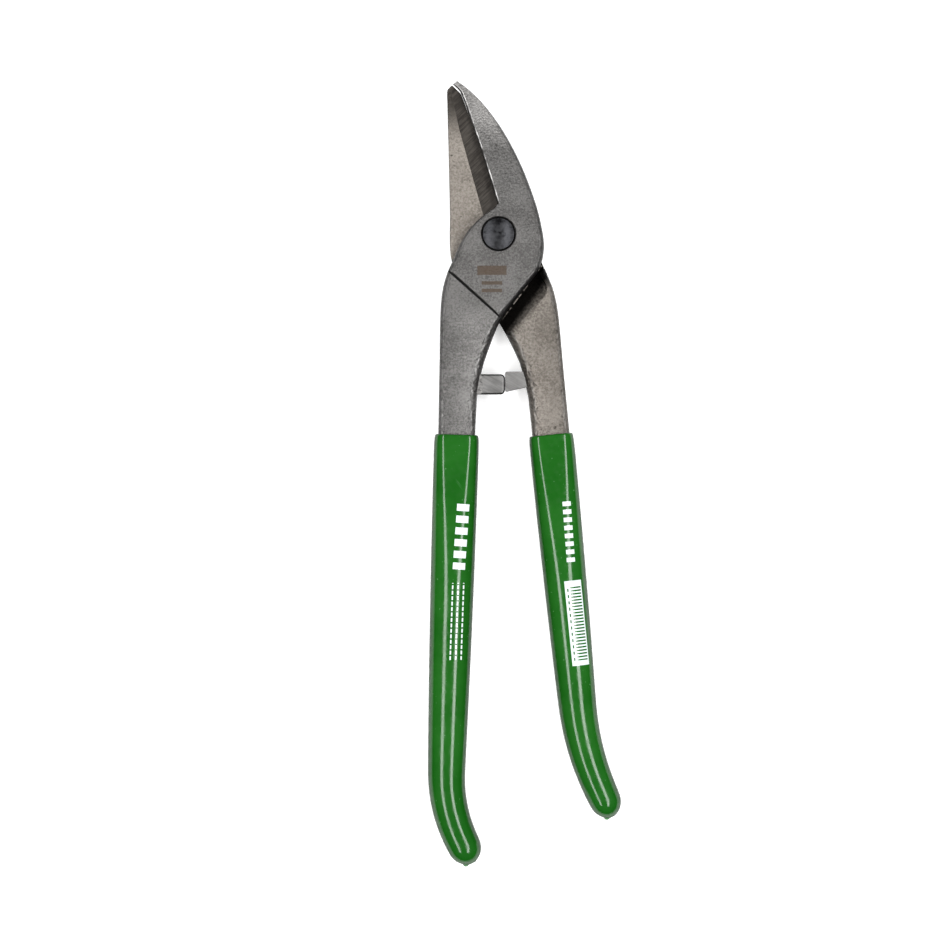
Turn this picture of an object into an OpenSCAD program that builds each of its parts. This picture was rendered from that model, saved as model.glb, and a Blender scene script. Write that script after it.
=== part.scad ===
// Hole-cutting hand snips: two forged halves that cross at a bolted lap joint,
// with dipped plastic grips. Millimetres. The tool lies flat: +Y points to the
// blade tips, +Z up, the pivot axis is the Z axis, and z = 0 is the nut's end.

/* [Blades] */
// Pivot axis to the front blade's tip
blade_reach = 53.7; // [45:0.1:66]
// How far the rear blade's tip falls short of the front one
tip_step = 1.3; // [0.8:0.1:2]
// Front blade's thickness just behind its tip
tip_thick = 2.4; // [1.8:0.1:3.5]
// Lean of a cutting edge's wall, bottom to top
edge_lean = 0.35; // [0.2:0.05:0.6]

/* [Joint] */
// Thickness of each half in the lap joint
lap_thick = 6.5; // [5.5:0.1:8]
// Air between the two lap faces
lap_gap = 0.16; // [0.1:0.02:0.3]
// Radius of the pocket that clears the other half's joint boss
pocket_r = 20.1; // [19.9:0.1:21]
// Width of the relief groove between boss and handle
groove_w = 0.65; // [0.3:0.05:1.2]
// Depth of that groove
groove_deep = 1.6; // [0.8:0.1:2.2]

/* [Pivot] */
// Bolt diameter
bolt_d = 8; // [6:0.1:9.6]
// Distance across the bolt neck's two flats
neck_flats = 6.4; // [5:0.1:7]
// Bolt head diameter
head_d = 10.9; // [10:0.1:13]
// Height of the head's round side
head_h = 2.3; // [1.6:0.1:2.8]
// Height of the head's dome
dome_h = 0.9; // [0.5:0.1:1.4]
// Depth of the counterbore that the head sits in
head_sink = 2.8; // [2:0.1:3.6]
// Gap around the head in its counterbore
head_gap = 0.5; // [0.3:0.05:1]
// Nut size across flats
nut_flats = 13; // [11:0.5:14]
// Nut height
nut_h = 4; // [3:0.5:6]
// Depth of the counterbore that the nut and washer sit in
nut_sink = 3.2; // [2:0.1:3.8]
// Gap around the nut's corners in its counterbore
nut_gap = 0.8; // [0.5:0.1:1.2]
// Spring washer's sheet thickness
washer_t = 0.6; // [0.4:0.1:1]
// Height that the spring washer stands when the nut is set
washer_h = 0.95; // [0.8:0.05:1.5]
// Radial running clearance of the bolt in the rear half
bolt_clear = 0.05; // [0.02:0.01:0.1]

/* [Handles] */
// Length of the front handle's straight stretch below the bare shank
front_straight = 121; // [100:1:145]
// Length of the rear handle's straight stretch below the bare shank
rear_straight = 98; // [80:1:120]
// Shank width where the grip begins
shank_w = 13; // [11:0.5:15]
// Shank thickness where the grip begins
shank_t = 10; // [8:0.5:11.5]
// Height of the stop lugs
lug_t = 5.6; // [4:0.2:8]
// Air between the stop lugs when the blades are shut
lug_gap = 0.12; // [0.1:0.02:0.3]

/* [Grips] */
// Wall of the dipped grip
grip_wall = 1.4; // [0.9:0.1:1.8]
// Bare shank between the handle's straight start and the grip
grip_start = 3; // [2:0.5:8]
// Air between a grip and the tang inside it
grip_clear = 0.04; // [0.02:0.01:0.1]

/* [Hidden] */

forged_grey = [0.53, 0.52, 0.51];
forged_warm = [0.56, 0.53, 0.50];
blackened = [0.24, 0.24, 0.26];
zinc = [0.45, 0.45, 0.46];
grip_green = [0.13, 0.44, 0.14];

seat_air = 0.05;                                     // between washer and counterbore floor
head_air = 0.02;                                     // between bolt head and counterbore floor
neck_clear = 0.05;                                   // round the bolt's neck in the front half
mouth_deep = 0.3;                                    // chamfer at the mouth of a counterbore
mouth_wide = 0.3;                                    // how far that chamfer widens the mouth
bolt_chamfer = 0.6;                                  // at the bolt's threaded end
stop_x = 2.4;                                        // plane where the stop lugs meet
groove_from = [-17.4, -13];                          // where the relief groove starts
groove_turn = -41.8;                                 // its direction from +X, in degrees
groove_long = 24;                                    // runs out past the handle's inner edge
groove_chamfer = [0.35, 0.3];                        // width and depth of its boss-side chamfer
shear_z = nut_h + washer_h + seat_air + lap_thick - nut_sink; // plane where the blades meet
head_hole_d = head_d + 2 * head_gap;
nut_corners = nut_flats / cos(30);
nut_hole_d = nut_corners + 2 * nut_gap;

corner_steps = 5;                                    // facets in each rounded corner of a section
sharp = 0.12;                                        // corner radius that stands for a sharp edge
edge_break = 0.4;                                    // rounding of a cutting edge's wall at the outer face
back_lap = 0.45;                                     // corner radius of a blade's back edge on its lap face
shank_y = -66.9;                                     // where the handles' straight stretch begins
blade_root_y = 10.6;                                 // lower end of the cutting edges
oval_by = 60;                                        // length over which the tang's section turns oval
drip_r = 1.2;                                        // radius of the drip left at a grip's end
drip_sunk = 0.45;                                    // depth of its centre below the grip's skin
pocket_end = [-12, -19.3];                           // centre of the pocket's round end
pocket_end_r = 4.8;                                  // radius of that end
drop = 1.9;                                          // how far the tangs stop short of the grips' ends
straight_steps = 12;                                 // rings along a handle's straight stretch

// ---- Curves -------------------------------------------------------------

// Slope of a table of [y, x] points at point i
function slope(p, i) =
    i == 0 ? (p[1][1] - p[0][1]) / (p[1][0] - p[0][0])
    : i == len(p) - 1 ? (p[i][1] - p[i-1][1]) / (p[i][0] - p[i-1][0])
    : (p[i+1][1] - p[i-1][1]) / (p[i+1][0] - p[i-1][0]);

// Index of the stretch of a falling table that holds y
function stretch(p, y, i = 0) = i >= len(p) - 2 || y >= p[i+1][0] ? i : stretch(p, y, i + 1);

// x of the smooth curve through a table of [y, x] points with falling y
function curve(p, y) =
    let (i = stretch(p, y), h = p[i+1][0] - p[i][0], t = min(1, max(0, (y - p[i][0]) / h)))
    p[i][1] * (1 + 2 * t) * (1 - t) * (1 - t) + slope(p, i) * h * t * (1 - t) * (1 - t)
    + p[i+1][1] * t * t * (3 - 2 * t) + slope(p, i + 1) * h * t * t * (t - 1);

// x on the straight line between two [y, x] points
function line(a, b, y) = a[1] + (b[1] - a[1]) * (y - a[0]) / (b[0] - a[0]);

function mix(a, b, t) = a + (b - a) * min(1, max(0, t));

// A height on the blade, from 0 at its root to 1 at the front blade's tip
function up(f) = blade_root_y + f * (blade_reach - blade_root_y);

// ---- Outlines -----------------------------------------------------------
// Each half is drawn in its own frame, lap layer on top, blade to the right of
// its cutting edge, and handle to the left. The rear half is then turned over.

// Cutting edges, back curves, boss edges and handle edges as [y, x]
front_edge = [[up(0.917), -13.3], [up(0.812), -11.5], [up(0.634), -9.0], [up(0.443), -6.2], [up(0), -0.3]];
front_hook = [[up(0.979), -16.0], [up(0.945), -14.3], [up(0.917), -13.3]];
front_back = [[up(1), -14.3], [up(0.942), -11.0], [up(0.821), -5.6], [up(0.608), 1.3], [up(0.316), 7.9],
    [11.6, 12.7], [3.2, 14.9], [-4, 15.9], [-9.4, 15.2], [-13.4, 13.6]];
rear_edge = [[up(0.903), 13.1], [up(0), -1.5]];
rear_back = [[up(0.935), 18.05], [up(0.45), 17.5], [7, 17.0], [-4, 17.0], [-9.4, 16.2], [-13.4, 13.6]];
boss_edge = [[8.8, -1.6], [6.7, -4.9], [3.9, -8.1], [1.1, -10.6], [-1.8, -12.5], [-5, -14.2], [-9, -15.8]];
rear_boss_edge = [[9.6, -2.6], [7.4, -6.6], [4.4, -9.8], [1, -12.2], [-2.4, -13.8], [-5, -14.6], [-9, -15]];
boss_foot = [[-13.4, 13.6], [-18.5, 9.4], [-24.5, 4.5], [-28.5, 1.5], [-31, 0.3]];

front_outer = [[-9, -15.8], [-13.6, -17.9], [-19.9, -19.6], [-28.4, -20.3], [-45, -20.6], [shank_y, -21]];
front_inner = [[-31, 0.2], [-36.1, -2], [-44.5, -5], [-50, -6.5], [-57, -7.5], [shank_y, -21 + shank_w]];
rear_outer = [[-9, -15.0], [-13.6, -16.8], [-19.9, -19.3], [-28.4, -20.9], [-45, -22.5], [shank_y, -24.6]];
rear_inner = [[-31, -0.5], [-36.1, -3.4], [-44.5, -7.4], [-50, -9], [-57, -10.5], [shank_y, -24.6 + shank_w]];

function front_left(y) =
    y > up(0.979) ? line([up(1), -14.9], [up(0.979), -16.0], y)
    : y > up(0.917) ? curve(front_hook, y)
    : y > blade_root_y ? curve(front_edge, y)
    : y > 8.8 ? line([blade_root_y, -0.3], [8.8, -1.6], y)
    : y > -9 ? curve(boss_edge, y)
    : curve(front_outer, y);
function front_right(y) =
    y > -13.4 ? curve(front_back, y) : y > -31 ? curve(boss_foot, y) : curve(front_inner, y);

rear_tip_y = blade_reach - tip_step;
function rear_left(y) =
    y > up(0.903) ? line([rear_tip_y, 16.0], [up(0.903), 13.1], y)
    : y > blade_root_y ? curve(rear_edge, y)
    : y > 9.6 ? line([blade_root_y, -1.5], [9.6, -2.6], y)
    : y > -9 ? curve(rear_boss_edge, y)
    : curve(rear_outer, y);
function rear_right(y) =
    y > up(0.935) ? line([rear_tip_y, 16.6], [up(0.935), 18.05], y)
    : y > -13.4 ? curve(rear_back, y) : y > -31 ? curve(boss_foot, y) : curve(rear_inner, y);

// Heights of the slices, closer together where the outline turns quickly
blade_slices = concat([1, 0.99, 0.979, 0.965, 0.94, 0.917, 0.9, 0.85, 0.79], [for (k = [9:-1:0]) 0.08 * k]);
joint_slices = [10.1, 9.4, 8.7, 7.8, 6.7, 5.4, 3.9, 2.5, 1.1, -0.4, -1.8, -3.4, -4.9];
foot_slices = [-5, -7, -9, -11.2, -13.4, -16, -18.5, -21.5, -24.5, -26.5, -28.5];
handle_slices = [-31, -33.5, -36.1, -40, -44.5, -50, -57];

// ---- Handle paths -------------------------------------------------------
// [start x, lean, straight length, bend angle, bend radius, end length, taper]; a
// lean or bend is in degrees, and a positive one turns towards -X in the half's
// frame. The taper is how much half the tang's width has lost at its end, most of
// it in the last third.
front_path = [-21 + shank_w / 2, 1.75, front_straight, -28, 52, 8.5, 2.2];
rear_path = [-24.6 + shank_w / 2, 5.6, rear_straight, 19, 95, 10, 2.5];

function bend_length(p) = abs(p[4] * p[3] * PI / 180);
function path_length(p) = p[2] + bend_length(p) + p[5];
// Direction, as degrees from straight down towards -X
function heading(p, s) = p[1] + p[3] * min(1, max(0, (s - p[2]) / bend_length(p)));
function down(a) = [-sin(a), -cos(a)];
function path_point(p, s) =
    let (a = p[1], turn = sign(p[3]), e = heading(p, s),
         centre = [p[0], shank_y] + p[2] * down(a) + turn * p[4] * [-cos(a), sin(a)])
    s <= p[2] ? [p[0], shank_y] + s * down(a)
    : let (on_bend = centre - turn * p[4] * [-cos(e), sin(e)])
      on_bend + max(0, s - p[2] - bend_length(p)) * down(e);

// ---- Sections and lofts -------------------------------------------------

// Corner of a section: points round a quarter of an ellipse with radii r = [across, up]
function corner(x, z, sx, sz, r, a0) =
    [for (k = [0:corner_steps]) let (a = a0 + 90 * k / corner_steps)
        [x - sx * r[0] + r[0] * cos(a), z - sz * r[1] + r[1] * sin(a)]];
function round_corner(r) = [r, r];

// Rounded section between x0 and x1, and z0 and z1. The top's left corner is set in
// by lean, and radii lists those at top right, top left, bottom left, bottom right.
function section(x0, x1, z0, z1, radii, lean = 0) =
    let (r = [for (q = radii) is_num(q) ? round_corner(q) : q]) concat(
    corner(x1, z1, 1, 1, r[0], 0), corner(x0 + lean, z1, -1, 1, r[1], 90),
    corner(x0, z0, -1, -1, r[2], 180), corner(x1, z0, 1, -1, r[3], 270));

// A flat section placed at height y, or across a handle path at its length s
function slice(y, sec) = [for (q = sec) [q[0], y, q[1]]];
function across(p, s, sec) =
    let (c = path_point(p, s), a = heading(p, s))
    [for (q = sec) [c[0] + q[0] * cos(a), c[1] - q[0] * sin(a), q[1]]];

// Solid through a list of rings that all have the same number of points, listed
// upwards along +Y (run = 1) or downwards (run = -1)
module loft(list, run = 1) {
    n = len(list[0]);
    m = len(list);
    rings = [for (i = [0:m-1]) run > 0 ? list[i] : list[m-1-i]];
    polyhedron(
        points = [for (r = rings) for (q = r) q],
        faces = concat(
            [[for (k = [0:n-1]) n - 1 - k]],
            [for (i = [0:m-2]) for (k = [0:n-1]) [i*n + k, i*n + (k+1) % n, (i+1)*n + (k+1) % n]],
            [for (i = [0:m-2]) for (k = [0:n-1]) [i*n + k, (i+1)*n + (k+1) % n, (i+1)*n + k]],
            [[for (k = [0:n-1]) (m-1)*n + k]]),
        convexity = 8);
}

// Half width and half thickness of a tang at length s, without its round end
function tang_half_w(p, s) = let (f = s / path_length(p)) mix(shank_w / 2, shank_w / 2 - p[6], f * f);
function tang_half_t(p, s) = let (f = s / path_length(p)) mix(shank_t / 2, shank_t / 2 - 1, f);
// Radii of a tang's corners: small at the shank, and nearly an oval further down
function oval(s) = let (f = min(1, max(0, s / oval_by))) f * f * (3 - 2 * f);

// Ring of a handle at length s, grown by more on every side; near the end the
// ring shrinks on a quarter ellipse, to close as a round tip
function handle_ring(p, s, grow, end_s) =
    let (w = tang_half_w(p, s) + grow, t = tang_half_t(p, s) + grow, cap = 5 + grow,
         u = min(1, max(0, (s - end_s + cap) / cap)), k = max(0.24, sqrt(1 - u * u)))
    across(p, s, section(-w * k, w * k, -t * k, t * k,
        [for (i = [0:3]) [mix(2.6 + grow, w - 0.5, oval(s)), mix(2.6 + grow, t - 0.4, oval(s))] * k]));

function handle_stations(p, from, end_s) = concat(
    [for (k = [0:straight_steps-1]) mix(from, p[2], k / straight_steps)],
    [for (k = [0:7]) mix(p[2], end_s - 6.5, k / 7)],
    [for (k = [1:6]) end_s - 6.5 * pow(1 - k / 6, 1.7)]);

// ---- Forged halves ------------------------------------------------------

// Thickness of a blade at height y, thinning from its root to its tip
function blade_thick(y) = mix(lap_thick, tip_thick, pow(max(0, (y - 4) / (blade_reach - 4)), 1.15));
// Radius of a blade's back edge on its outer face: crisp at the tip, rounder below
function back_round(y) =
    y > up(0.62) ? mix(1.8, 0.3, (y - up(0.62)) / 10) : mix(2.4, 1.8, (y + 5) / (up(0.62) + 5));
// Radii of a handle's inner and outer edges
function inner_round(y) = mix(2.4, 3.9, (y + 20) / -16);
function outer_round(y) = mix(2.4, 2.1, (y + 20) / -30);
// Half the handle's thickness, easing all the way from the joint's to the shank's
function handle_half_t(y) =
    let (f = min(1, max(0, (y + 20) / (shank_y + 20)))) mix(lap_thick, shank_t / 2, f * f * (3 - 2 * f));

// Rings of one half from tip to tang end. Slices down to the joint hold only the
// lap layer; below it the handle has its full thickness.
function half_rings(tip_y, left, right, p) = concat(
    [for (f = blade_slices) let (y = min(tip_y, up(f)), wide = right(y) - left(y))
        if (f == 1 || up(f) < tip_y)
        slice(y, section(left(y), right(y), lap_gap / 2, blade_thick(y),
            [min(back_round(y), wide / 3), min(edge_break, wide / 4), sharp, min(back_lap, wide / 4)],
            edge_lean))],
    [for (y = joint_slices)
        slice(y, section(left(y), right(y), lap_gap / 2, blade_thick(y),
            [back_round(y), mix(0.4, 2.4, (9.7 - y) / 14.6), sharp, back_lap]))],
    [for (y = concat(foot_slices, handle_slices))
        let (t = handle_half_t(y), ri = inner_round(y), ro = outer_round(y))
        slice(y, section(left(y), right(y), -t, t, [ri, ro, ro, ri]))],
    [for (s = handle_stations(p, 0, path_length(p) - drop)) handle_ring(p, s, 0, path_length(p) - drop)]);

// What the other half's boss sweeps, as a pocket in this half's lower layer
module pocket() {
    translate([0, 0, -lap_thick - 2]) linear_extrude(lap_thick + 2 + lap_gap / 2) union() {
        circle(pocket_r, $fn = 96);
        translate(pocket_end) circle(pocket_end_r, $fn = 48);
        polygon([
            [-pocket_r * cos(44), -pocket_r * sin(44)],
            pocket_end + pocket_end_r * [-cos(45), sin(45)],
            pocket_end - pocket_end_r * [cos(45), sin(45)],
            [-0.1, -38], [22, -38], [22, 0], [0, 0]]);
    }
}

// Straight relief groove that parts the boss from the handle on the outer face,
// with a chamfer along its boss side
module groove() {
    half = groove_w / 2;
    wide = groove_chamfer[0];
    deep = groove_chamfer[1];
    translate([groove_from[0], groove_from[1], lap_thick]) rotate([0, 0, groove_turn]) rotate([90, 0, 90])
        linear_extrude(groove_long) polygon([[-half, -groove_deep], [half, -groove_deep],
            [half, -deep], [half + 2 * wide, deep], [-half, deep]]);
}

// Cone that chamfers the mouth of a counterbore of diameter d, and runs on above it
module mouth(d) {
    translate([0, 0, lap_thick - mouth_deep])
        cylinder(d1 = d, d2 = d + 4 * mouth_wide, h = 2 * mouth_deep, $fn = 96);
}

// Stop lug on a handle's inner side, from x0 to x1, with rounded vertical edges at
// x1. Its lower side rises by rise towards x0.
module lug(x0, x1, y0, y1, r, rise) {
    translate([0, 0, -lug_t / 2]) linear_extrude(lug_t) union() {
        polygon([[x0, y0 + rise], [x1 - r, y0], [x1 - r, y1], [x0, y1]]);
        translate([x1 - r - 0.1, y0 + r]) square([r + 0.1, y1 - y0 - 2 * r]);
        for (y = [y0 + r, y1 - r]) translate([x1 - r, y]) circle(r, $fn = 32);
    }
}

// Bolt hole with two flats that stop the bolt from turning
module flatted_hole(clear, h) {
    intersection() {
        cylinder(d = bolt_d + 2 * clear, h = h, $fn = 64);
        translate([-bolt_d, -neck_flats / 2 - clear, 0]) cube([2 * bolt_d, neck_flats + 2 * clear, h]);
    }
}

module front_half() {
    color(forged_grey) translate([0, 0, shear_z]) difference() {
        union() {
            loft(half_rings(blade_reach, function (y) front_left(y), function (y) front_right(y), front_path),
                -1);
            lug(-9.5, stop_x - lug_gap, -55.8, -48.8, 1.6, 0);
        }
        pocket();
        groove();
        translate([0, 0, -1]) flatted_hole(neck_clear, lap_thick);
        translate([0, 0, lap_thick - head_sink]) cylinder(d = head_hole_d, h = head_sink + 1, $fn = 96);
        mouth(head_hole_d);
    }
}

module rear_half() {
    color(forged_warm) translate([0, 0, shear_z]) rotate([0, 180, 0]) difference() {
        union() {
            loft(half_rings(rear_tip_y, function (y) rear_left(y), function (y) rear_right(y), rear_path),
                -1);
            lug(-12, -stop_x, -54.8, -47.9, 0.5, 2);
        }
        pocket();
        groove();
        translate([0, 0, -1]) cylinder(d = bolt_d + 2 * bolt_clear, h = lap_thick + 2, $fn = 64);
        translate([0, 0, lap_thick - nut_sink]) cylinder(d = nut_hole_d, h = nut_sink + 1, $fn = 96);
        mouth(nut_hole_d);
    }
}

// ---- Pivot --------------------------------------------------------------

module pivot_bolt() {
    seat = shear_z + lap_thick - head_sink + head_air;
    dome_r = (head_d * head_d / 4 + dome_h * dome_h) / (2 * dome_h);
    color(blackened) union() {
        translate([0, 0, seat]) cylinder(d = head_d, h = head_h, $fn = 96);
        translate([0, 0, seat + head_h]) intersection() {
            translate([0, 0, dome_h - dome_r]) sphere(dome_r, $fn = 128);
            cylinder(d = head_d, h = dome_h + 1, $fn = 96);
        }
        translate([0, 0, shear_z + lap_gap / 2]) flatted_hole(0, seat - shear_z);
        translate([0, 0, bolt_chamfer])
            cylinder(d = bolt_d, h = shear_z + lap_gap / 2 - bolt_chamfer, $fn = 64);
        cylinder(d1 = bolt_d - 2 * bolt_chamfer, d2 = bolt_d, h = bolt_chamfer, $fn = 64);
    }
}

// Conical spring washer: its outer rim bears on the counterbore floor
module spring_washer() {
    outer = nut_flats / 2 - 0.1;
    inner = bolt_d / 2 + 0.15;
    land = 0.4;
    low = nut_h + 0.01;
    color(zinc) rotate_extrude($fn = 96)
        polygon([
            [inner, low], [inner + land, low],
            [outer, low + washer_h - washer_t], [outer, low + washer_h],
            [outer - land, low + washer_h], [inner, low + washer_t]]);
}

module pivot_nut() {
    chamfer = 0.8;
    face_d = nut_flats - 0.6;
    color(blackened) difference() {
        intersection() {
            cylinder(d = nut_corners, h = nut_h, $fn = 6);
            union() {
                cylinder(d1 = face_d, d2 = face_d + 2 * chamfer / tan(30), h = chamfer, $fn = 64);
                translate([0, 0, chamfer]) cylinder(d = nut_corners + 1, h = nut_h, $fn = 64);
            }
        }
        translate([0, 0, -1]) cylinder(d = bolt_d + 2 * bolt_clear, h = nut_h + 2, $fn = 64);
    }
}

// ---- Grips --------------------------------------------------------------

// Closed sleeve on a handle: outer rings up from the tip, a rounded lip, and the
// inner rings down to where the tang ends. The inner rings stand where the tang's
// rings do, so that their facets run side by side and don't cross.
function grip_rings(p) =
    let (end_s = path_length(p), tang_end = end_s - drop + grip_clear, top = grip_start,
         out = handle_stations(p, top + 3, end_s),
         in = [for (s = handle_stations(p, 0, tang_end)) if (s > top + 1) s],
         n = len(out), m = len(in))
    concat(
        [for (k = [0:n-1]) handle_ring(p, out[n-1-k], grip_wall, end_s)],
        [handle_ring(p, top + 0.5, grip_wall - 0.2, end_s), handle_ring(p, top, grip_wall - 0.6, end_s),
         handle_ring(p, top, grip_clear, tang_end)],
        [for (k = [0:m-1]) handle_ring(p, in[k], grip_clear, tang_end)]);

// Lowest point of a grip's rounded end, an ellipse across the path's direction
function grip_foot(p) =
    let (end_s = path_length(p), long = 5 + grip_wall, wide = tang_half_w(p, end_s) + grip_wall,
         a = heading(p, end_s), reach = norm([long * cos(a), wide * sin(a)]))
    path_point(p, end_s - long)
    + (long * long * cos(a) * down(a) + wide * wide * sin(a) * [cos(a), -sin(a)]) / reach;

// Small drip at a grip's lowest point
module drip(p) {
    foot = grip_foot(p);
    translate([foot[0], foot[1] + drip_sunk, 0]) sphere(drip_r, $fn = 24);
}

module front_grip() {
    color(grip_green) translate([0, 0, shear_z]) union() {
        loft(grip_rings(front_path));
        drip(front_path);
    }
}

module rear_grip() {
    color(grip_green) translate([0, 0, shear_z]) rotate([0, 180, 0]) union() {
        loft(grip_rings(rear_path));
        drip(rear_path);
    }
}

front_half();
rear_half();
pivot_bolt();
spring_washer();
pivot_nut();
front_grip();
rear_grip();
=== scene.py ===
import math
import bmesh
import bpy
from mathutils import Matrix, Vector


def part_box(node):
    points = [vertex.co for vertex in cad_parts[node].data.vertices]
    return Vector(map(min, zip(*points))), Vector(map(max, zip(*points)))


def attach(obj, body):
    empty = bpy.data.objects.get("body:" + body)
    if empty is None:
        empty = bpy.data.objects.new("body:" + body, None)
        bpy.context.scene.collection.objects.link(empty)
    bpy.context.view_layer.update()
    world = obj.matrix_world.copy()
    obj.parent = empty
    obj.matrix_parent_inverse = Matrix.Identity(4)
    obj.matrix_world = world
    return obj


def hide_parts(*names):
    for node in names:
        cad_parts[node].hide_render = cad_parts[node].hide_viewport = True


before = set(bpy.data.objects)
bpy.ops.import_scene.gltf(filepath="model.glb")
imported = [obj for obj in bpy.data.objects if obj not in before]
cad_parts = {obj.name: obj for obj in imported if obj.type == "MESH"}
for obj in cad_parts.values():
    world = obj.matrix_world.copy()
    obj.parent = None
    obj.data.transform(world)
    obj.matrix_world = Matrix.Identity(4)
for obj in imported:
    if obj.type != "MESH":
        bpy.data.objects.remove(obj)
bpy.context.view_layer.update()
MM = 0.001
WELD = 3e-6                      # vertices this near each other, in metres, are one
CUT_SNAP = 1e-6                  # how near a cut, in metres, a vertex counts as on it

# The plane where the two halves meet, and the front face of the boss
shear_z = (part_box("front_half")[0][2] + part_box("front_half")[1][2]) / 2
boss_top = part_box("front_half")[1][2]


# ---- Shader groups ------------------------------------------------------

def new_group(name, inputs, outputs):
    tree = bpy.data.node_groups.new(name, "ShaderNodeTree")
    for label, kind, value in inputs:
        socket = tree.interface.new_socket(label, in_out="INPUT", socket_type="NodeSocket" + kind)
        if value is not None:
            socket.default_value = value
    for label, kind in outputs:
        tree.interface.new_socket(label, in_out="OUTPUT", socket_type="NodeSocket" + kind)
    return tree, tree.nodes.new("NodeGroupInput"), tree.nodes.new("NodeGroupOutput")


def add(tree, kind, **settings):
    node = tree.nodes.new("ShaderNode" + kind)
    for key, value in settings.items():
        setattr(node, key, value)
    return node


def join(tree, out, into):
    tree.links.new(out, into)


def math_node(tree, operation, a, b=None, clamp=False):
    node = add(tree, "Math", operation=operation, use_clamp=clamp)
    for socket, value in ((node.inputs[0], a), (node.inputs[1], b)):
        if value is None:
            continue
        if isinstance(value, (int, float)):
            socket.default_value = value
        else:
            join(tree, value, socket)
    return node.outputs[0]


def ramp(tree, value, low, high, to_low=0.0, to_high=1.0):
    node = add(tree, "MapRange", interpolation_type="SMOOTHSTEP")
    join(tree, value, node.inputs["Value"])
    limits = (("From Min", low), ("From Max", high), ("To Min", to_low), ("To Max", to_high))
    for label, number in limits:
        node.inputs[label].default_value = number
    return node.outputs["Result"]


def noise(tree, vector, scale, detail=3.0, rough=0.6, distortion=0.0):
    node = add(tree, "TexNoise")
    join(tree, vector, node.inputs["Vector"])
    settings = (("Scale", scale), ("Detail", detail), ("Roughness", rough), ("Distortion", distortion))
    for label, number in settings:
        node.inputs[label].default_value = number
    return node.outputs["Fac"]


def mapped(tree, vector, scale=(1, 1, 1), angle=0.0, move=(0, 0, 0)):
    node = add(tree, "Mapping", vector_type="POINT")
    join(tree, vector, node.inputs["Vector"])
    node.inputs["Scale"].default_value = scale
    node.inputs["Rotation"].default_value = (0, 0, angle)
    node.inputs["Location"].default_value = move
    return node.outputs["Vector"]


def make_blast_group():
    """Shot-blasted forging skin: a fine pebble height, soft cloudy tone, and small dark pits."""
    tree, gin, gout = new_group("forging_skin", [
        ("Vector", "Vector", None), ("Grain Scale", "Float", 1100.0), ("Cloud Scale", "Float", 90.0)],
        [("Height", "Float"), ("Tone", "Float"), ("Pits", "Float")])
    pebble = add(tree, "TexVoronoi", feature="SMOOTH_F1")
    join(tree, gin.outputs["Vector"], pebble.inputs["Vector"])
    join(tree, gin.outputs["Grain Scale"], pebble.inputs["Scale"])
    pebble.inputs["Smoothness"].default_value = 0.6
    fine = add(tree, "TexNoise")
    join(tree, gin.outputs["Vector"], fine.inputs["Vector"])
    join(tree, gin.outputs["Grain Scale"], fine.inputs["Scale"])
    fine.inputs["Detail"].default_value = 4.0
    fine.inputs["Roughness"].default_value = 0.65
    height = math_node(tree, "ADD", math_node(tree, "MULTIPLY", pebble.outputs["Distance"], 0.7),
                       fine.outputs["Fac"])
    cloud = add(tree, "TexNoise")
    join(tree, gin.outputs["Vector"], cloud.inputs["Vector"])
    join(tree, gin.outputs["Cloud Scale"], cloud.inputs["Scale"])
    cloud.inputs["Detail"].default_value = 5.0
    tone = math_node(tree, "ADD", math_node(tree, "MULTIPLY", cloud.outputs["Fac"], 0.35),
                     math_node(tree, "MULTIPLY", fine.outputs["Fac"], 0.65))
    pits = ramp(tree, noise(tree, gin.outputs["Vector"], 420.0, 1.0, 0.5), 0.76, 0.82)
    join(tree, height, gout.inputs["Height"])
    join(tree, tone, gout.inputs["Tone"])
    join(tree, pits, gout.inputs["Pits"])
    return tree


def make_scratch_group():
    """Fine straight scratches at a given angle in the tool's plane."""
    tree, gin, gout = new_group("straight_scratches", [
        ("Vector", "Vector", None), ("Angle", "Float", 0.0), ("Fineness", "Float", 2600.0)],
        [("Height", "Float"), ("Mask", "Float")])
    turn = add(tree, "VectorRotate", rotation_type="Z_AXIS")
    join(tree, gin.outputs["Vector"], turn.inputs["Vector"])
    join(tree, gin.outputs["Angle"], turn.inputs["Angle"])
    stretched = mapped(tree, turn.outputs["Vector"], scale=(0.045, 1.0, 1.0))
    lines = add(tree, "TexNoise")
    join(tree, stretched, lines.inputs["Vector"])
    join(tree, gin.outputs["Fineness"], lines.inputs["Scale"])
    lines.inputs["Detail"].default_value = 2.0
    join(tree, lines.outputs["Fac"], gout.inputs["Height"])
    join(tree, ramp(tree, lines.outputs["Fac"], 0.5, 0.75), gout.inputs["Mask"])
    return tree


def make_flank_group():
    """Shade: 1 on faces that look up or down, falling to Least on upright flanks, as painted
    shade for flanks turned away from the lamps. A second mask, 1 where a rounded edge turns away from a
    flat, marks a painted highlight along that edge."""
    tree, gin, gout = new_group("flank_shade", [("Least", "Float", 0.3)],
                                [("Shade", "Float"), ("Edge Highlight", "Float")])
    split = add(tree, "SeparateXYZ")
    join(tree, add(tree, "TexCoord").outputs["Normal"], split.inputs[0])
    facing_up = math_node(tree, "ABSOLUTE", split.outputs["Z"])
    level = ramp(tree, facing_up, 0.15, 0.86)
    rest = math_node(tree, "MULTIPLY", math_node(tree, "SUBTRACT", 1.0, gin.outputs["Least"]), level)
    join(tree, math_node(tree, "ADD", gin.outputs["Least"], rest), gout.inputs["Shade"])
    from_corner = math_node(tree, "ABSOLUTE", math_node(tree, "SUBTRACT", facing_up, 0.87))
    join(tree, ramp(tree, from_corner, 0.0, 0.11, 1.0, 0.0), gout.inputs["Edge Highlight"])
    return tree


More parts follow.
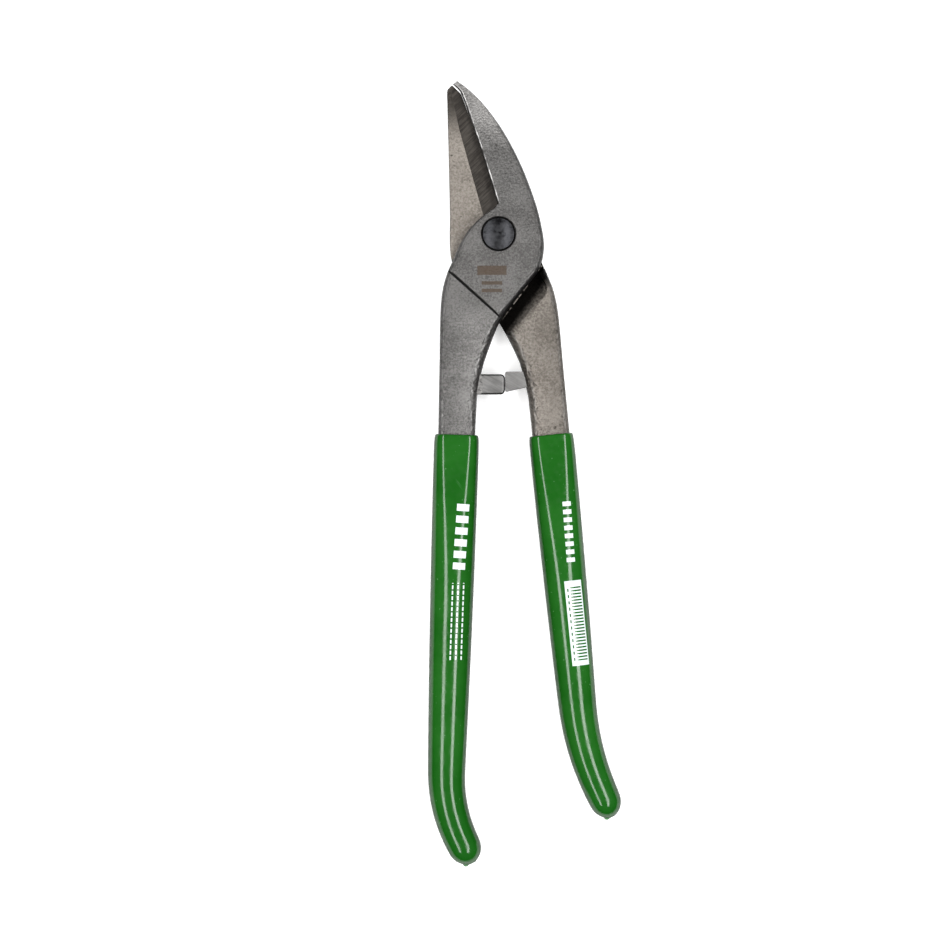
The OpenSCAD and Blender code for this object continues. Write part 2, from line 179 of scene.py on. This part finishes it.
def make_box_group():
    """A soft-edged box mask in the tool's plane, turned and placed, and only on the front side."""
    tree, gin, gout = new_group("printed_box", [
        ("Vector", "Vector", None), ("Centre X", "Float", 0.0), ("Centre Y", "Float", 0.0),
        ("Angle", "Float", 0.0), ("Half Width", "Float", 0.002), ("Half Height", "Float", 0.002),
        ("Softness", "Float", 0.00012), ("Front Z", "Float", 0.01)],
        [("Mask", "Float"), ("Across", "Float"), ("Along", "Float")])
    split = add(tree, "SeparateXYZ")
    join(tree, gin.outputs["Vector"], split.inputs[0])
    dx = math_node(tree, "SUBTRACT", split.outputs["X"], gin.outputs["Centre X"])
    dy = math_node(tree, "SUBTRACT", split.outputs["Y"], gin.outputs["Centre Y"])
    flat = add(tree, "CombineXYZ")
    join(tree, dx, flat.inputs["X"])
    join(tree, dy, flat.inputs["Y"])
    turn = add(tree, "VectorRotate", rotation_type="Z_AXIS")
    join(tree, flat.outputs[0], turn.inputs["Vector"])
    join(tree, gin.outputs["Angle"], turn.inputs["Angle"])
    local = add(tree, "SeparateXYZ")
    join(tree, turn.outputs["Vector"], local.inputs[0])

    def inside(value, half):
        gap = math_node(tree, "SUBTRACT", gin.outputs[half], math_node(tree, "ABSOLUTE", value))
        return math_node(tree, "DIVIDE", gap, gin.outputs["Softness"], clamp=True)

    mask = math_node(tree, "MULTIPLY", inside(local.outputs["X"], "Half Width"),
                     inside(local.outputs["Y"], "Half Height"))
    front = math_node(tree, "GREATER_THAN", split.outputs["Z"], gin.outputs["Front Z"])
    join(tree, math_node(tree, "MULTIPLY", mask, front), gout.inputs["Mask"])
    join(tree, local.outputs["X"], gout.inputs["Across"])
    join(tree, local.outputs["Y"], gout.inputs["Along"])
    return tree


SKIN = make_blast_group()
SCRATCHES = make_scratch_group()
FLANKS = make_flank_group()
PRINT = make_box_group()


# ---- Materials ----------------------------------------------------------

def new_material(name):
    material = bpy.data.materials.new(name)
    material.use_nodes = True
    tree = material.node_tree
    shader = tree.nodes["Principled BSDF"]
    place = add(tree, "TexCoord").outputs["Object"]
    return material, tree, shader, place


def use_group(tree, group, **values):
    node = add(tree, "Group", node_tree=group)
    for key, value in values.items():
        socket = node.inputs[key.replace("_", " ")]
        if hasattr(value, "is_linked"):
            join(tree, value, socket)
        else:
            socket.default_value = value
    return node.outputs


def mix_colour(tree, factor, a, b):
    node = add(tree, "Mix", data_type="RGBA", blend_type="MIX")
    for socket, value in ((node.inputs[0], factor), (node.inputs[6], a), (node.inputs[7], b)):
        if hasattr(value, "is_linked"):
            join(tree, value, socket)
        elif isinstance(value, (int, float)):
            socket.default_value = value
        else:
            socket.default_value = (*value, 1.0)
    return node.outputs[2]


def bump(tree, height, strength, distance):
    node = add(tree, "Bump")
    node.inputs["Strength"].default_value = strength
    node.inputs["Distance"].default_value = distance
    join(tree, height, node.inputs["Height"])
    return node.outputs["Normal"]


def shaded(tree, colour, value):
    """A colour made darker or lighter by a varying value."""
    node = add(tree, "Mix", data_type="RGBA", blend_type="MULTIPLY")
    node.inputs[0].default_value = 1.0
    join(tree, colour, node.inputs[6])
    join(tree, value, node.inputs[7])
    return node.outputs[2]


ETCHED_BROWN = (0.05, 0.036, 0.026)


def forged_steel(name, dark, light, edge, tone_map, grain=1100.0, etched=None):
    material, tree, shader, place = new_material(name)
    skin = use_group(tree, SKIN, Vector=place, Grain_Scale=grain)
    coarse = use_group(tree, SKIN, Vector=place, Grain_Scale=800.0)
    flank = use_group(tree, FLANKS, Least=0.5)
    y = parts_of(tree, place)[1]
    on_handle = ramp(tree, y, -40.0 * MM, -14.0 * MM, 1.0, 0.0)
    colour = mix_colour(tree, ramp(tree, skin["Tone"], 0.38, 0.62), dark, light)
    colour = mix_colour(tree, skin["Pits"], colour, tuple(0.5 * c for c in dark))
    # Painted highlight along rounded edges in the lighter edge colour, broken up by a coarse tone.
    edge_highlight = math_node(tree, "MULTIPLY", flank["Edge Highlight"], ramp(tree, coarse["Tone"], 0.4, 0.55, 0.2, 0.8))
    colour = mix_colour(tree, edge_highlight, colour, edge)
    if etched is not None:
        colour = mix_colour(tree, etched(tree, place), colour, ETCHED_BROWN)
    # Painted shade: upright flanks darkened, multiplied by the position tones.
    shade = math_node(tree, "MULTIPLY", flank["Shade"], tone_map(tree, place, skin["Tone"]))
    colour = shaded(tree, colour, shade)
    join(tree, colour, shader.inputs["Base Color"])
    join(tree, ramp(tree, skin["Tone"], 0.3, 0.7, 0.42, 0.58), shader.inputs["Roughness"])
    height = math_node(tree, "ADD", math_node(tree, "MULTIPLY", skin["Height"], 0.5),
                       math_node(tree, "MULTIPLY", coarse["Height"], on_handle))
    join(tree, bump(tree, height, 1.0, 0.00038), shader.inputs["Normal"])
    shader.inputs["Metallic"].default_value = 1.0
    return material


def parts_of(tree, place):
    split = add(tree, "SeparateXYZ")
    join(tree, place, split.inputs[0])
    return split.outputs["X"], split.outputs["Y"], split.outputs["Z"]


def front_tones(tree, place, tone):
    """Lighter ground tip, mid boss, and a lighter handle; the extra lightness towards its inner side is a
    painted highlight.
    """
    x, y, _ = parts_of(tree, place)
    drift = math_node(tree, "MULTIPLY", math_node(tree, "SUBTRACT", tone, 0.5), 12.0 * MM)
    y = math_node(tree, "ADD", y, drift)
    handle = ramp(tree, y, -42.0 * MM, -16.0 * MM, 1.36, 1.04)
    tip = ramp(tree, y, 28.0 * MM, 42.0 * MM, 1.0, 2.0)
    inner_highlight = ramp(tree, x, -19.0 * MM, -7.5 * MM, 0.94, 1.42)
    inner_highlight = math_node(tree, "MAXIMUM", inner_highlight, ramp(tree, y, -30.0 * MM, -18.0 * MM))
    inner_highlight = math_node(tree, "MINIMUM", inner_highlight, ramp(tree, y, -34.0 * MM, -22.0 * MM, 1.42, 1.0))
    return math_node(tree, "MULTIPLY", math_node(tree, "MULTIPLY", handle, tip), inner_highlight)


# A point on the straight edge of the front half's boss, in mm, and the way out from it
BOSS_EDGE = (15.1, -9.4)
BOSS_AWAY = (0.807, -0.591)


def rear_tones(tree, place, tone):
    """Blade darker towards its tip; behind the boss a nearly black area, dark unblasted oxide
    with painted shade of the recess, that fades out across the handle, and a painted highlight line along
    the boss's edge."""
    x, y, z = parts_of(tree, place)
    wobble = math_node(tree, "MULTIPLY", math_node(tree, "SUBTRACT", tone, 0.5), 1.0)
    drifted = math_node(tree, "ADD", y, math_node(tree, "MULTIPLY", wobble, 18.0 * MM))
    tip = ramp(tree, drifted, 32.0 * MM, 47.0 * MM, 1.0, 0.22)
    # Distance from the straight edge of the front half's boss
    across = math_node(tree, "MULTIPLY", math_node(tree, "SUBTRACT", x, BOSS_EDGE[0] * MM), BOSS_AWAY[0])
    along = math_node(tree, "MULTIPLY", math_node(tree, "SUBTRACT", y, BOSS_EDGE[1] * MM), BOSS_AWAY[1])
    straight = math_node(tree, "ADD", across, along)
    from_boss = math_node(tree, "ADD", straight, math_node(tree, "MULTIPLY", wobble, 3.0 * MM))
    # Painted shade of the recess behind the boss, together with its dark unblasted oxide, lifting away
    # from the boss's edge.
    outward = ramp(tree, x, 10.0 * MM, 24.0 * MM, 0.93, 0.68)
    pocket_shade_and_oxide = math_node(tree, "MULTIPLY", ramp(tree, from_boss, 4.2 * MM, 9.4 * MM, 0.012, 1.0), outward)
    elsewhere = math_node(tree, "MAXIMUM", ramp(tree, y, -9.0 * MM, -8.0 * MM),
                          ramp(tree, z, shear_z - 2.5 * MM, shear_z - 0.5 * MM, 1.0, 0.0))
    # A painted highlight line just outside the boss's edge, for the glint on its arris.
    boss_edge_glint = math_node(tree, "ABSOLUTE", math_node(tree, "SUBTRACT", straight, 0.85 * MM))
    boss_edge_glint = math_node(tree, "MULTIPLY", ramp(tree, boss_edge_glint, 0.1 * MM, 0.25 * MM, 1.0, 0.0),
                    ramp(tree, noise(tree, place, 900.0, 1.0), 0.45, 0.55))
    boss_edge_glint = math_node(tree, "MULTIPLY", boss_edge_glint, ramp(tree, y, -31.0 * MM, -23.0 * MM))
    pocket_shade_and_oxide = math_node(tree, "MAXIMUM", math_node(tree, "ADD", pocket_shade_and_oxide, boss_edge_glint), elsewhere)
    handle = ramp(tree, y, -62.0 * MM, -24.0 * MM, 1.3, 1.02)
    return math_node(tree, "MULTIPLY", math_node(tree, "MULTIPLY", tip, pocket_shade_and_oxide), handle)


def boss_mark(tree, place):
    """A plain etched mark on the boss: one broad bar over two narrow ones."""
    marks = []
    for centre_y, half_w, half_h in ((-12.8, 5.2, 1.7), (-17.2, 3.7, 0.7), (-19.8, 3.7, 0.7)):
        box = use_group(tree, PRINT, Vector=place, Centre_X=-2.3 * MM, Centre_Y=centre_y * MM,
                        Half_Width=half_w * MM, Half_Height=half_h * MM, Softness=0.2 * MM,
                        Front_Z=boss_top - 1.0 * MM)
        marks.append(box["Mask"])
    return math_node(tree, "MULTIPLY", highest(tree, marks), 0.8)


def ground_steel(name, dark, light, angle, fineness=2600.0, rough=(0.3, 0.45)):
    material, tree, shader, place = new_material(name)
    lines = use_group(tree, SCRATCHES, Vector=place, Angle=angle, Fineness=fineness)
    cloud = noise(tree, place, 160.0, 4.0)
    tone = math_node(tree, "ADD", math_node(tree, "MULTIPLY", cloud, 0.5),
                     math_node(tree, "MULTIPLY", lines["Height"], 0.5))
    join(tree, mix_colour(tree, ramp(tree, tone, 0.38, 0.62), dark, light), shader.inputs["Base Color"])
    join(tree, ramp(tree, lines["Height"], 0.3, 0.7, rough[0], rough[1]), shader.inputs["Roughness"])
    join(tree, bump(tree, lines["Height"], 0.25, 0.00004), shader.inputs["Normal"])
    shader.inputs["Metallic"].default_value = 1.0
    return material


def dull_dark(name):
    """Near-black painted shade for narrow recesses, bores and flanks."""
    material, tree, shader, place = new_material(name)
    skin = use_group(tree, SKIN, Vector=place, Grain_Scale=1400.0)
    colour = mix_colour(tree, skin["Tone"], (0.003, 0.003, 0.003), (0.012, 0.011, 0.01))
    join(tree, colour, shader.inputs["Base Color"])
    join(tree, ramp(tree, skin["Tone"], 0.3, 0.7, 0.6, 0.85), shader.inputs["Roughness"])
    join(tree, bump(tree, skin["Height"], 0.4, 0.0001), shader.inputs["Normal"])
    shader.inputs["Specular IOR Level"].default_value = 0.2
    return material


def black_steel(name):
    material, tree, shader, place = new_material(name)
    dents = use_group(tree, SKIN, Vector=place, Grain_Scale=520.0, Cloud_Scale=260.0)
    colour = mix_colour(tree, ramp(tree, dents["Tone"], 0.35, 0.65),
                        (0.013, 0.0133, 0.0146), (0.034, 0.0345, 0.037))
    join(tree, colour, shader.inputs["Base Color"])
    join(tree, ramp(tree, dents["Tone"], 0.3, 0.7, 0.24, 0.42), shader.inputs["Roughness"])
    join(tree, bump(tree, dents["Height"], 0.2, 0.00015), shader.inputs["Normal"])
    shader.inputs["Metallic"].default_value = 1.0
    return material


def grip_plastic(name, prints, foot):
    material, tree, shader, place = new_material(name)
    cloud = noise(tree, place, 55.0, 4.0)
    colour = mix_colour(tree, ramp(tree, cloud, 0.35, 0.65), (0.003, 0.072, 0.002), (0.007, 0.088, 0.005))
    scuffs = use_group(tree, SCRATCHES, Vector=place, Angle=0.9, Fineness=900.0)
    lint = ramp(tree, noise(tree, place, 900.0, 1.0, 0.4), 0.75, 0.78, 0.0, 0.3)
    scuffed = math_node(tree, "MULTIPLY", ramp(tree, scuffs["Height"], 0.72, 0.8), 0.2)
    marks = math_node(tree, "MAXIMUM", lint, scuffed)
    y = parts_of(tree, place)[1]
    # Painted light: the drip nub at the foot is paled where it sits in shade; the pale colour is shared
    # with the real lint and scuffs.
    nub_painted_light = ramp(tree, y, foot + 0.3 * MM, foot + 1.1 * MM, 0.7, 0.0)
    colour = mix_colour(tree, math_node(tree, "MAXIMUM", marks, nub_painted_light), colour, (0.16, 0.34, 0.17))
    colour = mix_colour(tree, prints(tree, place), colour, (0.62, 0.68, 0.68))
    # Painted shade on the sleeve's upright flanks.
    flank = use_group(tree, FLANKS, Least=0.25)
    colour = shaded(tree, colour, flank["Shade"])
    join(tree, colour, shader.inputs["Base Color"])
    wobble = noise(tree, mapped(tree, place, scale=(1.0, 0.35, 1.0)), 150.0, 2.0)
    fine = noise(tree, place, 1500.0, 2.0)
    height = math_node(tree, "ADD", wobble, math_node(tree, "MULTIPLY", fine, 0.12))
    join(tree, bump(tree, height, 0.1, 0.00018), shader.inputs["Normal"])
    sheen = ramp(tree, noise(tree, place, 500.0, 4.0), 0.35, 0.7, 0.08, 0.2)
    matt = ramp(tree, flank["Shade"], 0.5, 0.95, 0.4, 0.0)
    join(tree, math_node(tree, "ADD", sheen, matt), shader.inputs["Roughness"])
    shader.inputs["Specular IOR Level"].default_value = 0.4
    shader.inputs["IOR"].default_value = 1.45
    return material


def print_box(tree, place, x, y, angle, half_w, half_h):
    return use_group(tree, PRINT, Vector=place, Centre_X=x * MM, Centre_Y=y * MM, Angle=angle,
                     Half_Width=half_w * MM, Half_Height=half_h * MM, Front_Z=shear_z)


def dashes(tree, box, pitch, filled):
    """Cuts a printed box into evenly spaced dashes along its length."""
    step = math_node(tree, "FRACT", math_node(tree, "DIVIDE", box["Along"], pitch * MM))
    return math_node(tree, "MULTIPLY", box["Mask"], math_node(tree, "LESS_THAN", step, filled))


def highest(tree, masks):
    result = masks[0]
    for mask in masks[1:]:
        result = math_node(tree, "MAXIMUM", result, mask)
    return result


def front_prints(tree, place):
    """A row of plain blocks, with three dashed hairlines below it."""
    masks = [dashes(tree, print_box(tree, place, -13.0, -104.8, 0.07, 2.2, 12.25), 4.1, 0.6)]
    for x in (-12.6, -14.5, -16.4):
        masks.append(dashes(tree, print_box(tree, place, x, -135.2, 0.035, 0.3, 13.6), 1.9, 0.7))
    return highest(tree, masks)


def rear_prints(tree, place):
    """A row of plain dashes, and a white panel with evenly spaced bars."""
    row = dashes(tree, print_box(tree, place, 24.4, -103.2, -0.075, 1.5, 11.2), 2.8, 0.55)
    panel = print_box(tree, place, 27.25, -135.6, -0.10, 3.0, 14.9)
    bars = dashes(tree, print_box(tree, place, 28.0, -135.5, -0.10, 1.9, 13.2), 1.1, 0.5)
    ticks = dashes(tree, print_box(tree, place, 25.3, -135.7, -0.10, 0.3, 13.2), 2.2, 0.5)
    dark = math_node(tree, "MAXIMUM", bars, ticks)
    return math_node(tree, "MAXIMUM", row, math_node(tree, "SUBTRACT", panel["Mask"], dark, clamp=True))


# The third colour of each forging is its painted edge highlight.
front_steel = forged_steel("forged_steel_front", (0.05, 0.0485, 0.047), (0.114, 0.111, 0.108),
                           (0.19, 0.186, 0.182), front_tones, 1500.0, boss_mark)
rear_steel = forged_steel("forged_steel_rear", (0.096, 0.0855, 0.075), (0.198, 0.18, 0.16),
                          (0.265, 0.25, 0.235), rear_tones, 1300.0)
# The lap face's ground finish is coloured very dark: painted shade for the front blade's shadow and the
# dark reflection on it.
shaded_lap_steel = ground_steel("ground_lap_face_painted_dark", (0.028, 0.025, 0.0225), (0.051, 0.046, 0.041), -0.75,
                         3600.0)
recess_shade_black = dull_dark("shadowed_recess")
edge_steel = ground_steel("ground_cutting_edge", (0.06, 0.058, 0.056), (0.62, 0.61, 0.6), 0.3, 700.0,
                          (0.4, 0.55))
stop_steel = ground_steel("ground_stop_face", (0.125, 0.123, 0.12), (0.17, 0.167, 0.163), 0.5,
                          3200.0)
bolt_black = black_steel("blackened_bolt")
washer_steel = ground_steel("plain_washer", (0.3, 0.3, 0.3), (0.45, 0.45, 0.45), 0.2)
front_green = grip_plastic("dipped_grip_front", front_prints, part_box("front_grip")[0][1])
rear_green = grip_plastic("dipped_grip_rear", rear_prints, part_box("rear_grip")[0][1])


# ---- Pieces -------------------------------------------------------------

SAME_PLANE = 0.05                # degrees between faces that are one flat
SAME_FLAT = 0.3                  # degrees between faces that shade as one flat


def merged_copy(node):
    """The CAD solid as a clean closed mesh with its flat faces whole."""
    bm = bmesh.new()
    bm.from_mesh(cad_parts[node].data)
    bmesh.ops.remove_doubles(bm, verts=bm.verts, dist=WELD)
    bmesh.ops.dissolve_limit(bm, angle_limit=math.radians(SAME_PLANE), verts=bm.verts, edges=bm.edges)
    return bm


def settle_normals(mesh, smooth):
    """Shades every corner mostly with the normal of the widest flat area that it
    touches smoothly, so that flats stay flat right up to their rounded edges."""
    bm = bmesh.new()
    bm.from_mesh(mesh)
    flat_area = {}
    for first in bm.faces:
        if first in flat_area:
            continue
        patch, waiting = {first}, [first]
        while waiting:
            face = waiting.pop()
            for edge in face.edges:
                for other in edge.link_faces:
                    turned = other.normal.angle(first.normal, 1.0)
                    if other not in patch and turned < math.radians(SAME_FLAT):
                        patch.add(other)
                        waiting.append(other)
        total = sum(face.calc_area() for face in patch)
        for face in patch:
            flat_area[face] = total
    normals = []
    for face in bm.faces:
        for loop in face.loops:
            fan, waiting = {face}, [face]
            while waiting:
                here = waiting.pop()
                for edge in loop.vert.link_edges:
                    if here in edge.link_faces and edge.calc_face_angle(math.pi) < smooth:
                        for other in edge.link_faces:
                            if other not in fan:
                                fan.add(other)
                                waiting.append(other)
            total = Vector((0, 0, 0))
            for near in fan:
                total += near.normal * flat_area[near]
            normals.append(total.normalized() if total.length > 0 else face.normal.copy())
    bm.free()
    mesh.normals_split_custom_set(normals)


def keep(bm, name, body, slot, materials, *replaced, smooth=35.0, settled=True):
    mesh = bpy.data.meshes.new(name)
    bm.to_mesh(mesh)
    bm.free()
    for material in materials:
        mesh.materials.append(material)
    piece = bpy.data.objects.new(name, mesh)
    bpy.context.scene.collection.objects.link(piece)
    mesh.shade_smooth()
    mesh.set_sharp_from_angle(angle=math.radians(smooth))
    if settled:
        settle_normals(mesh, math.radians(smooth))
    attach(piece, body)
    if replaced:
        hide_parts(*replaced)
    return piece


def cut(bm, x, y, direction_x, direction_y):
    """Cuts every face along the upright plane through (x, y) mm in the given direction."""
    bmesh.ops.bisect_plane(bm, geom=bm.verts[:] + bm.edges[:] + bm.faces[:], dist=CUT_SNAP,
                           plane_co=(x * MM, y * MM, 0), plane_no=(direction_y, -direction_x, 0))


def paint(bm, slot_index, test):
    """Gives a material to every face whose centre, in mm, and normal pass the test."""
    for face in bm.faces:
        middle = face.calc_center_median() / MM
        if test(middle.x, middle.y, middle.z - shear_z / MM, face.normal):
            face.material_index = slot_index


def crisp_edges(bm, angle, test):
    """The edges that turn by more than the angle, in degrees, and whose middle passes the test."""
    found = []
    for edge in bm.edges:
        if edge.is_manifold and edge.calc_face_angle(0.0) > math.radians(angle):
            middle = (edge.verts[0].co + edge.verts[1].co) / 2 / MM
            if test(middle.x, middle.y, middle.z - shear_z / MM):
                found.append(edge)
    return found


def round_edges(bm, edges, radius, steps):
    if edges:
        bmesh.ops.bevel(bm, geom=edges, offset=radius * MM, offset_type="OFFSET", segments=steps,
                        profile=0.5, affect="EDGES", clamp_overlap=True, loop_slide=True, material=-1)


lap = (boss_top - shear_z) / MM
# Material slots of a forging, after slot 0, its blasted skin
LAP, DARK, LAND, STOP = range(1, 5)
CRISP = 50                       # degrees: an edge that turns more than this is a corner


GROOVE_START = (-17.4, -13.0)
GROOVE_ACROSS = (0.6665, 0.7455)


def beside_groove(x, y):
    """Distance across the relief groove, in mm, positive on the boss side."""
    return (x - GROOVE_START[0]) * GROOVE_ACROSS[0] + (y - GROOVE_START[1]) * GROOVE_ACROSS[1]


# Stop lugs: their top and the lowest edge to round, above the blades' meeting plane
LUG_TOP, LUG_EDGE = 2.8, 2.4
LUG_LEVEL = 0.93                 # a lug's face with a normal above this is its top


def on_front_lug(x, y):
    return -5.9 < x < 2.35 and -56.3 < y < -48.4


def on_rear_lug(x, y):
    return 2.3 < x < 9.6 and -55.2 < y < -47.5


def front_forging():
    bm = merged_copy("front_half")
    cut(bm, -5.6, 0.0, 0.0, 1.0)
    bm.normal_update()
    on_lug = crisp_edges(bm, CRISP, lambda x, y, z: on_front_lug(x, y) and z > LUG_EDGE)
    round_edges(bm, on_lug, 0.8, 3)
    bm.normal_update()
    paint(bm, LAND, lambda x, y, z, n:
          n.x < -0.1 and 0.15 < n.z < 0.99 and y > 11.5 and x < 0 and z > 0.5)
    # The lap face takes the very dark lap finish, painted shade.
    paint(bm, LAP, lambda x, y, z, n: n.z < -0.9 and abs(z) < 0.3 and y > -34)
    # Painted shade: the counterbore and the relief groove take the near-black recess finish.
    paint(bm, DARK, lambda x, y, z, n: x * x + y * y < 36 and 0.2 < z < lap - 0.32)
    paint(bm, DARK, lambda x, y, z, n:
          abs(beside_groove(x, y)) < 0.4 and lap - 2 < z < lap - 0.3 and -31 < y < -11)
    # The groove's chamfer on the boss side takes a lighter ground finish, which also serves as a painted
    # highlight along it.
    paint(bm, STOP, lambda x, y, z, n:
          0.3 < beside_groove(x, y) < 1.0 and lap - 0.5 < z < lap and 0.2 < n.z < 0.97 and -31 < y < -11)
    # Painted shade on the lug's flanks; its top keeps the ground finish.
    paint(bm, DARK, lambda x, y, z, n: on_front_lug(x, y) and z < LUG_TOP + 0.05 and n.z < LUG_LEVEL)
    paint(bm, STOP, lambda x, y, z, n: on_front_lug(x, y) and abs(z - LUG_TOP) < 0.1 and n.z >= LUG_LEVEL)
    return keep(bm, "front_forging", "front_lever", "forged_steel_front",
                [front_steel, shaded_lap_steel, recess_shade_black, edge_steel, stop_steel], "front_half")


def rear_forging():
    bm = merged_copy("rear_half")
    # The ground strip along the cutting edge turns once, and takes in the whole tip
    turn_x, turn_y = -13.7, 37.0
    down_x, down_y = 8.5, -30.4
    up_x, up_y = -2.8, 13.2
    tip_y, root_y = 50.3, -6.0
    cut(bm, turn_x, turn_y, down_x, down_y)
    cut(bm, turn_x, turn_y, up_x, up_y)
    cut(bm, 0.0, tip_y, 1.0, 0.0)
    cut(bm, 0.0, root_y, 1.0, 0.0)
    bm.normal_update()

    def on_strip(x, y, z, n):
        lower = x > turn_x + (y - turn_y) * down_x / down_y
        upper = x > turn_x + (y - turn_y) * up_x / up_y
        inside = lower if y < turn_y else upper
        return n.z > 0.9 and abs(z) < 0.3 and y > root_y and (inside or y > tip_y)

    shoulder = crisp_edges(bm, CRISP, lambda x, y, z: x > 1 and -40 < y < -12 and z > 4)
    round_edges(bm, shoulder, 1.3, 5)
    on_lug = crisp_edges(bm, CRISP, lambda x, y, z: on_rear_lug(x, y) and z > LUG_EDGE)
    round_edges(bm, on_lug, 0.35, 2)
    bm.normal_update()
    # The ground strip takes the very dark lap finish, painted shade.
    paint(bm, LAP, on_strip)
    # Painted shade: the counterbore takes the near-black recess finish.
    paint(bm, DARK, lambda x, y, z, n: x * x + y * y < 70 and -lap + 0.35 < z < -0.4)
    # Painted shade on the lug's flanks; its top keeps the ground finish.
    paint(bm, DARK, lambda x, y, z, n:
          on_rear_lug(x, y) and z < LUG_TOP + 0.05 and n.z < LUG_LEVEL and abs(n.x) + abs(n.y) > 0.3)
    paint(bm, STOP, lambda x, y, z, n: on_rear_lug(x, y) and abs(z - LUG_TOP) < 0.1 and n.z >= LUG_LEVEL)
    return keep(bm, "rear_forging", "rear_lever", "forged_steel_rear",
                [rear_steel, shaded_lap_steel, recess_shade_black, edge_steel, stop_steel], "rear_half")


front_forging()
rear_forging()


def grip(node, name, body, material):
    bm = bmesh.new()
    bm.from_mesh(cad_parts[node].data)
    bmesh.ops.remove_doubles(bm, verts=bm.verts, dist=WELD)
    bmesh.ops.join_triangles(bm, faces=bm.faces, angle_face_threshold=math.radians(40),
                             angle_shape_threshold=math.radians(180))
    piece = keep(bm, name, body, "green_grip", [material], node, smooth=180.0, settled=False)
    rounder = piece.modifiers.new("dipped_skin", "SUBSURF")
    rounder.levels = rounder.render_levels = 2
    return piece


grip("front_grip", "front_grip_sleeve", "front_lever", front_green)
grip("rear_grip", "rear_grip_sleeve", "rear_lever", rear_green)
for node in ("pivot_bolt", "pivot_nut", "spring_washer"):
    washer = node == "spring_washer"
    keep(merged_copy(node), node + "_finished", "front_lever", "spring_steel" if washer else "black_steel",
         [washer_steel if washer else bolt_black], node)


# ---- Studio -------------------------------------------------------------

FLOOR_HALF = 3.0
STRIP_SIZE = (0.17, 1.3)
STRIP_AWAY = 0.9
CAMERA_UP = 0.925                # above the plane where the blades meet

centre = Vector((-8.2 * MM, -84.05 * MM, 0.0))

bm = bmesh.new()
bmesh.ops.create_grid(bm, x_segments=1, y_segments=1, size=FLOOR_HALF)
floor_mesh = bpy.data.meshes.new("floor")
bm.to_mesh(floor_mesh)
bm.free()
floor = bpy.data.objects.new("floor", floor_mesh)
bpy.context.scene.collection.objects.link(floor)
floor_material = bpy.data.materials.new("pale_floor")
floor_material.use_nodes = True
floor_shader = floor_material.node_tree.nodes["Principled BSDF"].inputs
floor_shader["Base Color"].default_value = (0.93, 0.93, 0.93, 1)
floor_shader["Roughness"].default_value = 0.9
floor_shader["Emission Color"].default_value = (1, 1, 1, 1)
floor_shader["Emission Strength"].default_value = 0.3
floor_mesh.materials.append(floor_material)


def softbox(name, side, lean, power):
    """A long area lamp on the left (-1) or right (1), leaning from upright and facing the tool."""
    lamp = bpy.data.lights.new(name, "AREA")
    lamp.shape = "RECTANGLE"
    lamp.size, lamp.size_y = STRIP_SIZE
    lamp.energy = power
    holder = bpy.data.objects.new(name, lamp)
    bpy.context.scene.collection.objects.link(holder)
    direction = Vector((side * math.sin(lean), 0.0, math.cos(lean)))
    holder.location = centre + direction * STRIP_AWAY
    holder.rotation_euler = (0.0, side * lean, 0.0)


softbox("left_strip", -1, math.radians(23), 8.5)
softbox("right_strip", 1, math.radians(22), 9.5)

world = bpy.data.worlds.new("studio")
bpy.context.scene.world = world
world.use_nodes = True
tree = world.node_tree
backdrop = tree.nodes["Background"]
sky = add(tree, "TexCoord").outputs["Generated"]
split = add(tree, "SeparateXYZ")
join(tree, sky, split.inputs[0])
height = ramp(tree, split.outputs["Z"], 0.1, 0.75, 0.13, 0.34)
join(tree, height, backdrop.inputs["Strength"])
backdrop.inputs["Color"].default_value = (1, 1, 1, 1)

lens = bpy.data.cameras.new("camera")
lens.lens = 100
lens.sensor_width = 36
lens.clip_start = 0.01
camera = bpy.data.objects.new("camera", lens)
bpy.context.scene.collection.objects.link(camera)
camera.location = (centre.x, centre.y, shear_z + CAMERA_UP)
camera.rotation_euler = (0, 0, 0)
bpy.context.scene.camera = camera
bpy.context.scene.view_settings.view_transform = "Standard"
